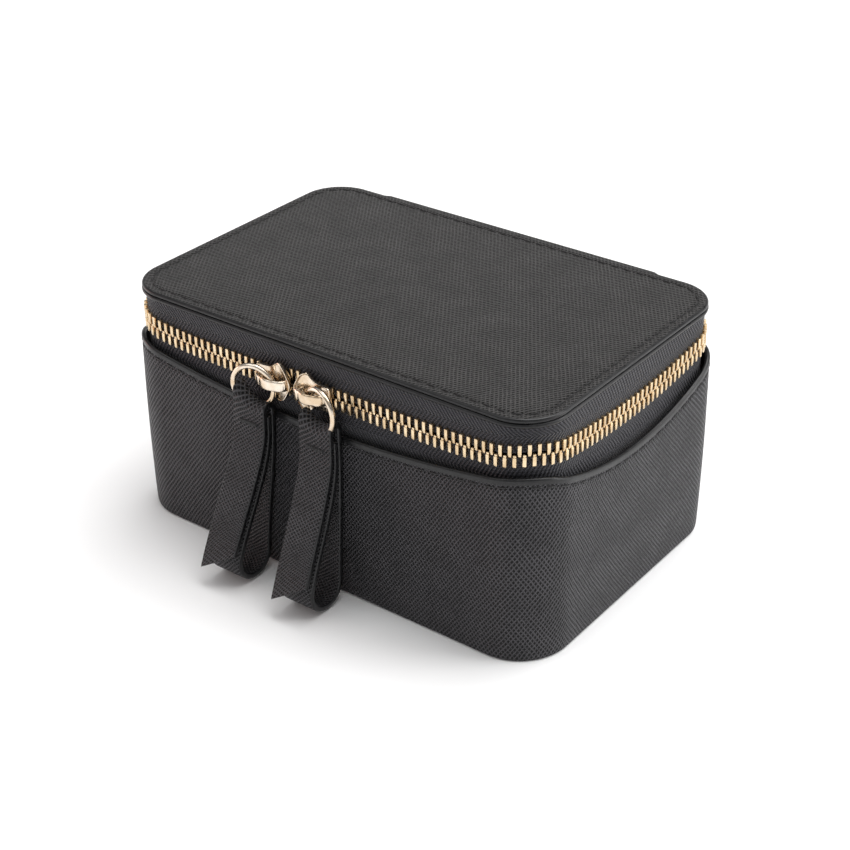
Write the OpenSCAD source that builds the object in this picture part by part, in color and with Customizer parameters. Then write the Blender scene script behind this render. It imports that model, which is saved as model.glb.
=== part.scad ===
// Zip-round jewellery case with a hinged lid, ring rolls and two leather zip pulls.
// Origin: centre of the resting face. X runs left to right, Y front to back, Z up.

/* [Case] */
// Outside width of the leather body
body_w = 158.4; // [150:0.2:180]
// Outside depth of the leather body
body_d = 105.8; // [100:0.2:120]
// Plan corner radius of the leather body
body_r = 17; // [15:0.5:20]
// Overall height to the top of the lid
case_h = 79.5; // [77:0.5:90]
// Height of the wall leather's edge at the corners
wall_h = 61.5; // [60:0.5:62]
// Drop of the wall leather's edge at mid front and mid back
wall_dip_front = 6.2; // [4:0.2:7]
// Drop of the wall leather's edge at mid sides
wall_dip_side = 8.6; // [4:0.2:9]
// Thickness of the wall leather
leather_t = 1.6; // [1.4:0.1:1.7]
// Thickness of the stiffening board
board_t = 1.2; // [1:0.1:1.3]
// Thickness of the zip tape
tape_t = 0.8; // [0.6:0.1:0.9]
// Thickness of the fabric lining
lining_t = 0.6; // [0.4:0.1:0.8]

/* [Lid] */
// Width of the lid panel
lid_w = 154; // [150:0.5:160]
// Depth of the lid panel
lid_d = 102; // [98:0.5:106]
// Plan corner radius of the lid panel
lid_r = 14; // [12:0.5:16]
// Thickness of the lid's leather panel
lid_leather_t = 1.5; // [1.2:0.1:1.8]
// Thickness of the folded welt under the panel
welt_t = 1.4; // [1.2:0.1:1.6]
// Half width of the leather hinge at the back
hinge_half_w = 53; // [40:1:56]

/* [Zip] */
// Height of the zip's centre line at mid front
chain_z = 65.8; // [64.5:0.1:66]
// Rise of the centre line from mid front to the corners
chain_rise = 3.6; // [0:0.1:3.8]
// Drop of the centre line from the corners to mid sides
chain_dip = 5; // [0:0.1:5.4]
// Distance from one tooth to the next in a row
tooth_pitch = 2.54; // [2.4:0.02:3]
// Tooth size along the tape
tooth_w = 1.05; // [0.8:0.05:1.1]
// How far a tooth stands off the tape
tooth_t = 1.2; // [1:0.1:1.3]
// Height from the centre line to a tooth's far end
tooth_h = 3.2; // [2.8:0.1:3.3]

/* [Pulls] */
// X of the meeting point of the two sliders
meeting_x = -7.25; // [-15:0.25:15]
// Length of a slider from nose to tail
slider_len = 13.4; // [12:0.2:15]
// Centre-line radius of a pull ring
ring_r = 6.6; // [6.4:0.1:6.8]
// Wire diameter of a pull ring
wire_d = 1.6; // [1.4:0.1:1.7]
// Width of a pull strap
strap_w = 12; // [9:0.5:13]
// Thickness of a pull strap's leather
strap_t = 1.9; // [1.4:0.1:2]

/* [Interior] */
// X of the divider beside the ring rolls
divider_x = -8.5; // [-20:0.5:10]
// Height of the bed under the ring rolls
roll_bed_top = 30; // [20:1:34]
// Number of ring rolls
roll_count = 4; // [3:1:5]

/* [Hidden] */
$fn = 64;

// Layers of the wall, given as the inset of each outer face from the body's outline
board_in = leather_t;
tape_in = board_in + board_t;
lining_in = tape_in + tape_t;
room_in = lining_in + lining_t;
half_w = body_w / 2;
half_d = body_d / 2;

// Distance from a corner at which the dip of the wall leather begins
dip_end = 8;

// Heights of the body's layers
bottom_t = 1.6;
floor_z = bottom_t + board_t + lining_t;
pad_t = 1.5;
pad_z = floor_z + pad_t;
board_h = 50;
tape_foot_z = 46;
lining_h = 60;
roll_divider_h = 46;
cross_divider_h = 42;

// Heights of the lid's layers
lid_under = case_h - lid_leather_t;
welt_under = lid_under - welt_t;
lid_lining_z = welt_under - lining_t;
lid_skirt_z = 70.4;
welt_w = 3.2;
welt_out = 0.1;
hinge_step = 0.9;

// The zip: outer face of the tape, half gap between the rows, and the ends of the chain
tape_hx = half_w - tape_in;
tape_hy = half_d - tape_in;
tape_r = body_r - tape_in;
row_gap = 0.5;
front_run = tape_hx - tape_r;
side_run = 2 * (tape_hy - tape_r);
arc_run = tape_r * PI / 2;
back_run = front_run - hinge_half_w;
chain_half = front_run + arc_run + side_run + arc_run + back_run;
stop_len = 3;
stop_cut = 1;
teeth_half = floor((chain_half - stop_len - tooth_w) / tooth_pitch);

// The hinge line lies on the outer face of the leather hinge
hinge_y = tape_hy + board_t;
hinge_gap = 0.1;

// Slider plate and crown
slide_gap = 0.3;
plate_t = 1.1;
plate_back = tape_hy + tooth_t + slide_gap;
plate_face = plate_back + plate_t;
nose_x = slider_len * 0.52;
tail_x = slider_len - nose_x;
nose_h = 0.6;
shoulder_h = 6.4;
shoulder_x0 = -nose_x + 3.2;
shoulder_x1 = -nose_x + 5;
waist_x = -nose_x + 7.4;
waist_h = 4.6;
tail_h = 4;
edge_cut = 1;
crown_len = 12;
crown_out = 4;
crown_t = 1.1;
crown_h = 3.4;
crown_r = 2.4;
lip_t = 0.8;
lip_x = -nose_x + 3;
lip_len = 8.4;
lip_z = tooth_h + slide_gap + 0.1;
neck_t = 0.4;
neck_x = -nose_x + 2;
neck_len = 4;
inner_x = -nose_x + 1;
inner_len = 10.9;
inner_t = 1;
inner_y = tape_hy - tape_t - slide_gap;
nose_gap = 1.3;
left_x = meeting_x - nose_gap / 2 - nose_x;
right_x = meeting_x + nose_gap / 2 + nose_x;

// Pull ring: turned a little off the front wall, one leg inside the crown
ring_turn = 15;
leg_x = -1;
leg_out = 1.45;
leg_reach = 6.3;
ring_play = 0.05;
ring_cx = leg_x + leg_reach * cos(ring_turn);
ring_out = leg_out + leg_reach * sin(ring_turn);
ring_drop = 2.3;
ring_cz = chain_z - ring_drop;
ring_cy = -(plate_face + ring_out);

// Pull strap, drawn side-on with its origin at the lowest point of the ring's wire
strap_top_z = ring_cz - ring_r;
strap_cy = ring_cy - slide_gap;
stack_t = 3 * strap_t;
stack_len = 7;
loop_r = 7.6;
strap_low_z = 2;
loop_drop = strap_top_z - strap_low_z;
loop_apex_z = 1.2;
loop_len = loop_drop - loop_r + loop_apex_z;
loop_angle = asin(loop_r / loop_len);
loop_lean = 2.5;
tail_angle = 20.5;
tail_len = 47.5;
tail_slant = 7.5;
tack_w = 6;
tack_h = 0.9;
tack_t = 0.25;
tack_drop = 4.5;

// Stitches
stitch_len = 3.4;
stitch_pitch = 4.6;
stitch_w = 0.5;
stitch_t = 0.2;
stitch_lift = 0.05;
lid_stitch_in = 3.3;
wall_stitch_drop = 2.8;

// Ring rolls
roll_gap = 0.3;
roll_sink = 0.6;
room_hx = half_w - room_in;
room_hy = half_d - room_in;
room_r = body_r - room_in;
fit_gap = 0.2;
divider_t = 1.6;
rolls_w = divider_x - divider_t / 2 - fit_gap + room_hx - fit_gap;
roll_pitch = rolls_w / roll_count;
roll_r = (roll_pitch - roll_gap) / 2;

// Lid pocket
pocket_hx = 64;
pocket_front_y = -16;
pocket_back_y = 44;
pocket_t = 2.6;
elastic_w = 6;

LEATHER = [0.09, 0.085, 0.085];
BOARD = [0.45, 0.4, 0.34];
TAPE = [0.06, 0.06, 0.065];
VELVET = [0.16, 0.15, 0.15];
GOLD = [0.83, 0.7, 0.47];
THREAD = [0.03, 0.03, 0.03];

// Height of a dipping edge across a face: full height at both ends, lowest in the middle
function dip(u, span, drop, power) = drop * (1 - pow(min(abs(u) / span, 1), power));
function chain_front(x) = chain_z + chain_rise - dip(x, tape_hx, chain_rise, 5);
function chain_side(y) = chain_z + chain_rise - dip(y, tape_hy, chain_dip, 2);
function chain_line(x, y) = min(chain_front(x), chain_side(y));
function wall_front(x) = wall_h - dip(x, half_w - dip_end, wall_dip_front, 2);
function wall_side(y) = wall_h - dip(y, half_d - dip_end, wall_dip_side, 2);
function wall_line(x, y) = min(wall_front(x), wall_side(y));

// Half length of the outline from mid front to mid back, for half sizes hx, hy and radius r
function half_round(hx, hy, r) = 2 * (hx - r) + 2 * (hy - r) + PI * r;

// Point and heading on a rounded outline at distance s from mid front, for s >= 0
function walk(s, hx, hy, r) =
    let (a = hx - r, q = r * PI / 2, b = 2 * (hy - r))
    s < a ? [s, -hy, 0] :
    s < a + q ? arc_point(a, -(hy - r), r, -90 + (s - a) / r * 180 / PI) :
    s < a + q + b ? [hx, -(hy - r) + s - a - q, 90] :
    s < a + q + b + q ? arc_point(a, hy - r, r, (s - a - q - b) / r * 180 / PI) :
    [a - (s - a - q - b - q), hy, 180];
function arc_point(cx, cy, r, t) = [cx + r * cos(t), cy + r * sin(t), t + 90];
// The same for either sign of s: the left half mirrors the right
function walk_round(s, hx, hy, r) =
    let (p = walk(abs(s), hx, hy, r))
    s < 0 ? [-p[0], p[1], -p[2]] : p;

// Rounded rectangle with half sizes hx, hy and corner radius r
module rounded(hx, hy, r) {
    square([2 * (hx - r), 2 * hy], center = true);
    square([2 * hx, 2 * (hy - r)], center = true);
    for (sx = [-1, 1], sy = [-1, 1])
        translate([sx * (hx - r), sy * (hy - r)]) circle(r);
}

// Rounded plate inset from the body's outline
module plate(inset, z0, z1) {
    translate([0, 0, z0])
        linear_extrude(z1 - z0)
            rounded(half_w - inset, half_d - inset, body_r - inset);
}

// Rounded wall between two insets from the body's outline
module wall(outer_in, inner_in, z0, z1) {
    translate([0, 0, z0])
        linear_extrude(z1 - z0)
            difference() {
                rounded(half_w - outer_in, half_d - outer_in, body_r - outer_in);
                rounded(half_w - inner_in, half_d - inner_in, body_r - inner_in);
            }
}

DIP_STEPS = 16;
DIP_REACH = 100;

// Everything above a line that dips across the front, shifted in height
module above_front(hx, shift, chain) {
    steps = [for (i = [-DIP_STEPS : DIP_STEPS]) i / DIP_STEPS * hx];
    line = [for (x = steps) [x, (chain ? chain_front(x) : wall_front(x)) + shift]];
    rotate([90, 0, 0])
        linear_extrude(2 * DIP_REACH, center = true)
            polygon(concat([[-hx, DIP_REACH]], line, [[hx, DIP_REACH]]));
}

// Everything above a line that dips across the sides, shifted in height
module above_side(hy, shift, chain) {
    steps = [for (i = [-DIP_STEPS : DIP_STEPS]) i / DIP_STEPS * hy];
    line = [for (y = steps) [y, (chain ? chain_side(y) : wall_side(y)) + shift]];
    rotate([90, 0, 90])
        linear_extrude(2 * DIP_REACH, center = true)
            polygon(concat([[-hy, DIP_REACH]], line, [[hy, DIP_REACH]]));
}

// One copy of the children at each place on a rounded outline
module along(places, hx, hy, r) {
    for (s = places) {
        p = walk_round(s, hx, hy, r);
        translate([p[0], p[1], 0]) rotate([0, 0, p[2]]) children();
    }
}

// ---- Body ----

module base_panel() {
    color(LEATHER) plate(0, 0, bottom_t);
}

module base_board() {
    color(BOARD) {
        plate(board_in, bottom_t, bottom_t + board_t);
        wall(board_in, tape_in, bottom_t, board_h);
    }
}

module wall_leather() {
    color(LEATHER)
        difference() {
            wall(0, board_in, bottom_t, wall_h);
            above_front(half_w + 1, 0, false);
            above_side(half_d + 1, 0, false);
        }
}

module base_lining() {
    color(VELVET) {
        plate(tape_in, bottom_t + board_t, floor_z);
        wall(lining_in, room_in, floor_z, lining_h);
    }
}

module floor_pad() {
    color(VELVET) plate(room_in + fit_gap, floor_z, pad_z);
}

module wall_stitches() {
    half = half_round(half_w, half_d, body_r);
    count = floor(half / stitch_pitch);
    color(THREAD)
        for (i = [-count + 1 : count]) {
            p = walk_round((i - 0.5) * half / count, half_w, half_d, body_r);
            translate([p[0], p[1], wall_line(p[0], p[1]) - wall_stitch_drop])
                rotate([0, 0, p[2]])
                    translate([-stitch_len / 2, -stitch_lift - stitch_t, -stitch_w / 2])
                        cube([stitch_len, stitch_t, stitch_w]);
        }
}

// ---- Zip ----

module tape_outline() {
    difference() {
        rounded(tape_hx, tape_hy, tape_r);
        rounded(tape_hx - tape_t, tape_hy - tape_t, tape_r - tape_t);
        translate([-hinge_half_w, 0]) square([2 * hinge_half_w, tape_hy + 1]);
    }
}

module lower_tape() {
    color(TAPE)
        difference() {
            translate([0, 0, tape_foot_z])
                linear_extrude(chain_z + chain_rise + 1 - tape_foot_z) tape_outline();
            above_front(tape_hx + 1, -row_gap, true);
            above_side(tape_hy + 1, -row_gap, true);
        }
}

module upper_tape() {
    foot_z = chain_z - chain_dip;
    color(TAPE)
        intersection() {
            translate([0, 0, foot_z])
                linear_extrude(welt_under - foot_z) tape_outline();
            union() {
                above_front(tape_hx + 1, row_gap, true);
                above_side(tape_hy + 1, row_gap, true);
            }
        }
}

// A row of teeth: side is 1 for the upper row and -1 for the lower one
module tooth_row(side) {
    tooth_len = tooth_h - row_gap;
    mid = side * (row_gap + tooth_h) / 2;
    first = side > 0 ? 0.5 - teeth_half : -teeth_half;
    for (i = [first : -first]) {
        p = walk_round(i * tooth_pitch, tape_hx, tape_hy, tape_r);
        translate([p[0], p[1], chain_line(p[0], p[1]) + mid])
            rotate([0, 0, p[2]])
                translate([-tooth_w / 2, -tooth_t, -tooth_len / 2])
                    cube([tooth_w, tooth_t, tooth_len]);
    }
}

module lower_teeth() {
    color(GOLD) tooth_row(-1);
}

module upper_teeth() {
    color(GOLD) tooth_row(1);
}

// End stops beside the leather hinge
module stop_pair(side) {
    z = chain_line(hinge_half_w, tape_hy) + side * (row_gap + tooth_h) / 2;
    for (sx = [-1, 1])
        translate([sx * (hinge_half_w + stop_len / 2), tape_hy + tooth_t / 2, z])
            cube([stop_len - stop_cut, tooth_t, tooth_h - row_gap], center = true);
}

module lower_stops() {
    color(GOLD) stop_pair(-1);
}

module upper_stops() {
    color(GOLD) stop_pair(1);
}

module hinge_leaf(z0, z1) {
    translate([-hinge_half_w, tape_hy, z0])
        cube([2 * hinge_half_w, hinge_y - tape_hy, z1 - z0]);
}

module hinge_leaf_lower() {
    color(LEATHER) hinge_leaf(board_h, chain_z - hinge_gap);
}

module hinge_leaf_upper() {
    color(LEATHER) hinge_leaf(chain_z + hinge_gap, welt_under);
}

// ---- Interior ----

// The part of the room between two X positions, from z0 to z1
module room_block(x0, x1, z0, z1) {
    translate([0, 0, z0])
        linear_extrude(z1 - z0)
            intersection() {
                rounded(room_hx - fit_gap, room_hy - fit_gap, room_r - fit_gap);
                translate([x0, -room_hy]) square([x1 - x0, 2 * room_hy]);
            }
}

module roll_bed() {
    color(BOARD) room_block(-room_hx, divider_x - divider_t / 2 - fit_gap, pad_z, roll_bed_top);
}

module ring_roll(i) {
    x = -room_hx + fit_gap + (i - 0.5) * roll_pitch;
    color(VELVET)
        intersection() {
            room_block(-room_hx, room_hx, roll_bed_top, roll_bed_top + 2 * roll_r);
            translate([x, 0, roll_bed_top + roll_r - roll_sink])
                rotate([90, 0, 0]) cylinder(h = body_d, r = roll_r, center = true);
        }
}

module roll_divider() {
    color(VELVET)
        room_block(divider_x - divider_t / 2, divider_x + divider_t / 2, pad_z, roll_divider_h);
}

module cross_divider() {
    x0 = divider_x + divider_t / 2;
    color(VELVET)
        translate([x0, -divider_t / 2, pad_z])
            cube([room_hx - fit_gap - x0, divider_t, cross_divider_h - pad_z]);
}

// ---- Lid ----

module lid_outline(out) {
    rounded(lid_w / 2 + out, lid_d / 2 + out, lid_r + out);
}

module lid_panel() {
    color(LEATHER)
        translate([0, 0, lid_under])
            linear_extrude(lid_leather_t) {
                lid_outline(0);
                translate([-hinge_half_w, 0]) square([2 * hinge_half_w, lid_d / 2 + hinge_step]);
            }
}

module lid_welt() {
    color(LEATHER)
        translate([0, 0, welt_under])
            linear_extrude(welt_t)
                difference() {
                    lid_outline(welt_out);
                    lid_outline(-welt_w);
                }
}

module lid_board() {
    color(BOARD)
        translate([0, 0, welt_under]) linear_extrude(welt_t) lid_outline(-welt_w);
}

module lid_lining() {
    color(VELVET) {
        plate(lining_in, lid_lining_z, welt_under);
        wall(lining_in, room_in, lid_skirt_z, lid_lining_z);
    }
}

module lid_pocket() {
    color(VELVET)
        translate([-pocket_hx, pocket_front_y, lid_lining_z - pocket_t])
            cube([2 * pocket_hx, pocket_back_y - pocket_front_y, pocket_t]);
}

module pocket_elastic() {
    color(VELVET)
        translate([-pocket_hx, pocket_front_y - elastic_w, lid_lining_z - pocket_t])
            cube([2 * pocket_hx, elastic_w, pocket_t]);
}

module lid_stitches() {
    hx = lid_w / 2 - lid_stitch_in;
    hy = lid_d / 2 - lid_stitch_in;
    r = lid_r - lid_stitch_in;
    half = half_round(hx, hy, r);
    count = floor(half / stitch_pitch);
    color(THREAD)
        translate([0, 0, case_h + stitch_lift])
            along([for (i = [-count + 1 : count]) (i - 0.5) * half / count], hx, hy, r)
                translate([-stitch_len / 2, -stitch_w / 2, 0])
                    cube([stitch_len, stitch_w, stitch_t]);
}

// ---- Sliders and pulls: drawn for the right side, nose towards -X ----

// Face of the slider: blunt nose, wide shoulders, narrow tail
module slider_outline() {
    half = [
        [-nose_x, nose_h], [(shoulder_x0 - nose_x) / 2, shoulder_h - edge_cut],
        [shoulder_x0, shoulder_h], [shoulder_x1, shoulder_h], [waist_x, waist_h],
        [tail_x - edge_cut, tail_h], [tail_x, tail_h - edge_cut]
    ];
    last = len(half) - 1;
    polygon(concat(half, [for (i = [last : -1 : 0]) [half[i][0], -half[i][1]]]));
}

// Arch that stands off the plate, seen from above
module crown_outline(half_len, out, r) {
    translate([-half_len, -out + r]) square([2 * half_len, out - r]);
    translate([-half_len + r, -out]) square([2 * (half_len - r), out]);
    for (sx = [-1, 1])
        translate([sx * (half_len - r), -out + r]) circle(r);
}

module slider_shape() {
    translate([0, -plate_back, 0])
        rotate([90, 0, 0]) linear_extrude(plate_t) slider_outline();
    translate([0, -plate_face, -crown_h / 2])
        linear_extrude(crown_h)
            difference() {
                crown_outline(crown_len / 2, crown_out, crown_r);
                crown_outline(crown_len / 2 - crown_t, crown_out - crown_t, crown_r - crown_t);
            }
    translate([lip_x, -plate_face, -lip_z - lip_t])
        cube([lip_len, plate_face - tape_hy - slide_gap, lip_t]);
    translate([neck_x, -plate_back, -neck_t / 2])
        cube([neck_len, plate_back - inner_y + inner_t / 2, neck_t]);
    translate([inner_x, -inner_y, -tooth_h])
        cube([inner_len, inner_t, 2 * tooth_h]);
}

module slider_right() {
    color(GOLD) translate([right_x, 0, chain_z]) slider_shape();
}

module slider_left() {
    color(GOLD) translate([left_x, 0, chain_z]) mirror([1, 0, 0]) slider_shape();
}

module ring_shape(extra) {
    translate([ring_cx, ring_cy, ring_cz])
        rotate([0, 0, -ring_turn])
            rotate([90, 0, 0])
                rotate_extrude() translate([ring_r, 0]) circle(d = wire_d + extra);
}

module pull_ring_right() {
    color(GOLD) translate([right_x, 0, 0]) ring_shape(0);
}

module pull_ring_left() {
    color(GOLD) translate([left_x, 0, 0]) mirror([1, 0, 0]) ring_shape(0);
}

// Closed loop seen side-on: a round end and two straight legs that meet at the origin
module loop_outline(r) {
    reach = r / sin(loop_angle);
    translate([0, -loop_len]) {
        circle(r);
        polygon([
            [-r * cos(loop_angle), r * sin(loop_angle)],
            [0, reach],
            [r * cos(loop_angle), r * sin(loop_angle)]
        ]);
    }
}

// Side-on profile without the tail: fold over the ring, stitched stack, loop
module strap_profile() {
    circle(wire_d / 2 + strap_t);
    translate([-stack_t / 2, -stack_len]) square([stack_t, stack_len]);
    difference() {
        translate([stack_t / 2, loop_apex_z])
            rotate(-loop_angle - loop_lean)
                difference() {
                    loop_outline(loop_r);
                    loop_outline(loop_r - strap_t);
                }
        translate([-stack_t, 0]) square([2 * stack_t, 2 * loop_r]);
    }
}

// Hanging front end of the strap, cut at a slant: long_side is the X sign of its long edge
module strap_tail(long_side) {
    rotate([-tail_angle, 0, 0])
        translate([0, strap_t / 2, 0])
            rotate([90, 0, 0])
                linear_extrude(strap_t)
                    polygon([
                        [-long_side * strap_w / 2, 0], [long_side * strap_w / 2, 0],
                        [long_side * strap_w / 2, -tail_len],
                        [-long_side * strap_w / 2, tail_slant - tail_len]
                    ]);
}

module strap_shape(long_side) {
    difference() {
        translate([ring_cx, strap_cy, strap_top_z]) {
            rotate([90, 0, 90])
                linear_extrude(strap_w, center = true) strap_profile();
            translate([0, strap_t / 2 - stack_t / 2, 1 - stack_len]) strap_tail(long_side);
        }
        ring_shape(2 * ring_play);
    }
}

module pull_strap_right() {
    color(LEATHER) translate([right_x, 0, 0]) strap_shape(-1);
}

module pull_strap_left() {
    color(LEATHER) translate([left_x, 0, 0]) mirror([1, 0, 0]) strap_shape(1);
}

module tack_shape() {
    translate([ring_cx - tack_w / 2, strap_cy - stack_t / 2 - tack_t, strap_top_z - tack_drop])
        cube([tack_w, tack_t, tack_h]);
}

module strap_tack_right() {
    color(THREAD) translate([right_x, 0, 0]) tack_shape();
}

module strap_tack_left() {
    color(THREAD) translate([left_x, 0, 0]) mirror([1, 0, 0]) tack_shape();
}

base_panel();
base_board();
wall_leather();
base_lining();
floor_pad();
wall_stitches();
lower_tape();
lower_teeth();
lower_stops();
hinge_leaf_lower();
roll_bed();
for (i = [1 : roll_count])
    ring_roll(i);
roll_divider();
cross_divider();
lid_panel();
lid_welt();
lid_board();
lid_lining();
lid_pocket();
pocket_elastic();
lid_stitches();
upper_tape();
upper_teeth();
upper_stops();
hinge_leaf_upper();
slider_left();
slider_right();
pull_ring_left();
pull_ring_right();
pull_strap_left();
pull_strap_right();
strap_tack_left();
strap_tack_right();
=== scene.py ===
import math

import bmesh
import bpy
import numpy as np
from mathutils import Matrix, Vector


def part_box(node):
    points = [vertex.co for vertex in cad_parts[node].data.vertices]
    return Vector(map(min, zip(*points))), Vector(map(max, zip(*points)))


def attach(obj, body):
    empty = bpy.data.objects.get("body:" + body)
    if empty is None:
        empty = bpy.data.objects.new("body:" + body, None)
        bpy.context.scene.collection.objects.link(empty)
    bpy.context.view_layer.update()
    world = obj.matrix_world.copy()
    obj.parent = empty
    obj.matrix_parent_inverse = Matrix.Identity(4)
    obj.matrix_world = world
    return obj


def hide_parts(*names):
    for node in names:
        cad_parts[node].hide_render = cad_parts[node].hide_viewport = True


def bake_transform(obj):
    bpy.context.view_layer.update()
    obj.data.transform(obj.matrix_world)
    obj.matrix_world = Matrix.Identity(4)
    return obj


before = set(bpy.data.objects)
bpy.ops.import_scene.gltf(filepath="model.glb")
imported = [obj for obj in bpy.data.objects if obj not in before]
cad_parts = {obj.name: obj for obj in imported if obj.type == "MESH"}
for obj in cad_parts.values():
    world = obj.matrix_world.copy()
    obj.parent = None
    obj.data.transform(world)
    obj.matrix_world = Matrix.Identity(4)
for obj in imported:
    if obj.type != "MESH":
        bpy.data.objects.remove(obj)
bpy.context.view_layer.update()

# Shapes are worked out in millimetres in the row frame, and become metres in make_mesh().
MM = 0.001
UP = np.array([0, 0, 1.0])


def node_box(name):
    lo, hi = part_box(name)
    return np.array(lo) / MM, np.array(hi) / MM


# ---- Sizes read from the frame ----

BODY_HX, BODY_HY, WALL_TOP = node_box("wall_leather")[1]
TAPE_HX, TAPE_HY, _ = node_box("lower_tape")[1]
LID_HX = node_box("lid_panel")[1][0]
LID_HY = -node_box("lid_panel")[0][1]
LID_UNDER, LID_TOP = node_box("lid_panel")[0][2], node_box("lid_panel")[1][2]
WELT_UNDER = node_box("lid_welt")[0][2]
SLIDER_LO, SLIDER_HI = node_box("slider_right")
SLIDER_LEFT_LO, SLIDER_LEFT_HI = node_box("slider_left")
CHAIN_Z = (SLIDER_LO[2] + SLIDER_HI[2]) / 2
MEETING_X = (SLIDER_LEFT_HI[0] + SLIDER_LO[0]) / 2
HINGE_LO, HINGE_HI = node_box("hinge_leaf_lower")
ROOM_HX, ROOM_HY, _ = node_box("floor_pad")[1]
FLOOR_Z, PAD_Z = node_box("floor_pad")[0][2], node_box("floor_pad")[1][2]

# ---- Sizes that a box doesn't give ----

BODY_R = 17.0
TAPE_R = 14.2
LID_R = 14.0
ROOM_R = 12.6
LEATHER_T = 1.6
BOTTOM_T = 1.6
TAPE_T = 0.8
LINING_T = 0.6
WALL_RISE = 0.7
WALL_DIP_FRONT = 6.9
WALL_DIP_SIDE = 10.0
DIP_END = 8.0
EDGE_BLEND = 4.0
EDGE_SAMPLES = 8
CHAIN_RISE = 3.6
CHAIN_DIP = 5.0
TOOTH_PITCH = 2.54
TOOTH_W = 1.12
TOOTH_T = 1.2
TOOTH_H = 3.45
TOOTH_LAP = 0.3
STRAP_W = 12.0
STRAP_T = 1.9
STEP = 1.0
SHARP = 38


# ---- Outline and edge lines ----

def full_turn(count):
    return np.linspace(0, 2 * math.pi, count, endpoint=False)


def half_round(hx, hy, r):
    """Length of a rounded rectangle from mid front to mid back."""
    return 2 * (hx - r) + 2 * (hy - r) + math.pi * r


def walk(s, hx, hy, r):
    """Points and outward normals at signed distances s from mid front; positive s goes towards +X."""
    s = np.asarray(s, float)
    t = np.abs(s)
    a, b, q = hx - r, hy - r, r * math.pi / 2
    turn = np.clip((t - a) / q, 0, 1) + np.clip((t - a - q - 2 * b) / q, 0, 1)
    angle = np.radians(-90 + 90 * turn)
    nx, ny = np.cos(angle), np.sin(angle)
    x = np.minimum(t, a) - np.maximum(t - a - 2 * q - 2 * b, 0) + r * nx
    y = -b + np.clip(t - a - q, 0, 2 * b) + r * ny
    side = np.where(s < 0, -1.0, 1.0)
    return x * side, y, nx * side, ny


def ramp(x):
    """Smooth step from 0 to 1."""
    x = np.clip(x, 0, 1)
    return x * x * (3 - 2 * x)


def dip(u, span, drop, power):
    """How far an edge sags at u: drop at the middle, nothing at span and beyond."""
    return drop * (1 - np.minimum(np.abs(u) / span, 1) ** power)


def squared(value, power):
    """A cosine or sine bent towards a square: power 1 keeps the circle."""
    return np.sign(value) * abs(value) ** power


def soft_min(a, b, width):
    """The lower of a and b, rounded where they cross."""
    return -width * np.log(np.exp(-a / width) + np.exp(-b / width))


def wall_line(x, y):
    """Height of the wall's top edge, averaged over EDGE_BLEND so that it bends without a corner."""
    angles = full_turn(EDGE_SAMPLES)
    around = [wall_dips(x + EDGE_BLEND * math.cos(a), y + EDGE_BLEND * math.sin(a)) for a in angles]
    return (wall_dips(x, y) + sum(around)) / (EDGE_SAMPLES + 1)


def wall_dips(x, y):
    """Height of the wall's top edge before it is averaged."""
    top = WALL_TOP + WALL_RISE
    front = top - dip(x, BODY_HX - DIP_END, WALL_DIP_FRONT, power=2)
    side = top - dip(y, BODY_HY - DIP_END, WALL_DIP_SIDE, power=2)
    return soft_min(front, side, width=0.4)


def chain_line(x, y):
    """Height of the middle of the zip's chain."""
    top = CHAIN_Z + CHAIN_RISE
    front = top - dip(x, TAPE_HX, CHAIN_RISE, power=5)
    side = top - dip(y, TAPE_HY, CHAIN_DIP, power=2)
    return soft_min(front, side, width=0.3)


# The rows part between the noses of the two sliders.
PART_H = 1.7
PART_REACH = 3.7


def parting(x, y):
    """How far each row of teeth stands back from the centre line, beyond its closed place."""
    return np.where(y < 0, PART_H * np.exp(-((x - MEETING_X) / PART_REACH) ** 2), 0.0)


# ---- Mesh building ----

def new_object(name, data):
    obj = bpy.data.objects.new(name, data)
    bpy.context.scene.collection.objects.link(obj)
    return obj


def make_mesh(name, verts, faces, lay=None, face_mats=None, materials=(), sharp=SHARP):
    """A mesh object from points in mm. lay is one (across, along) pair in mm for each face corner, for
    patterns that follow the surface."""
    mesh = bpy.data.meshes.new(name)
    mesh.from_pydata((np.asarray(verts, float) * MM).tolist(), [], faces)
    for material in materials:
        mesh.materials.append(material)
    if face_mats is not None:
        mesh.polygons.foreach_set("material_index", np.asarray(face_mats, np.int32))
    attribute = mesh.attributes.new("lay", "FLOAT_VECTOR", "CORNER")
    if lay is None:
        corners = np.zeros(len(mesh.loops), np.int32)
        mesh.loops.foreach_get("vertex_index", corners)
        flat = np.asarray(verts, float)[corners]
    else:
        flat = np.zeros((len(mesh.loops), 3))
        flat[:, :2] = np.asarray(lay, float).reshape(-1, 2)
    attribute.data.foreach_set("vector", flat.astype(np.float32).ravel())
    work = bmesh.new()
    work.from_mesh(mesh)
    bmesh.ops.recalc_face_normals(work, faces=work.faces)
    work.to_mesh(mesh)
    work.free()
    mesh.shade_smooth()
    mesh.set_sharp_from_angle(angle=math.radians(sharp))
    return new_object(name, mesh)


def grid_faces(n, m, wrap_i, wrap_j):
    """Quads over an n by m grid of points. A grid closed one way only gets a cap at each open end."""
    faces = []
    for i in range(n if wrap_i else n - 1):
        for j in range(m if wrap_j else m - 1):
            k, l = (i + 1) % n, (j + 1) % m
            faces.append((i * m + j, k * m + j, k * m + l, i * m + l))
    if not wrap_i:
        faces.append(tuple(range(m)))
        faces.append(tuple((n - 1) * m + j for j in range(m)))
    elif not wrap_j:
        faces.append(tuple(i * m for i in range(n)))
        faces.append(tuple(i * m + m - 1 for i in range(n)))
    return faces


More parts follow.
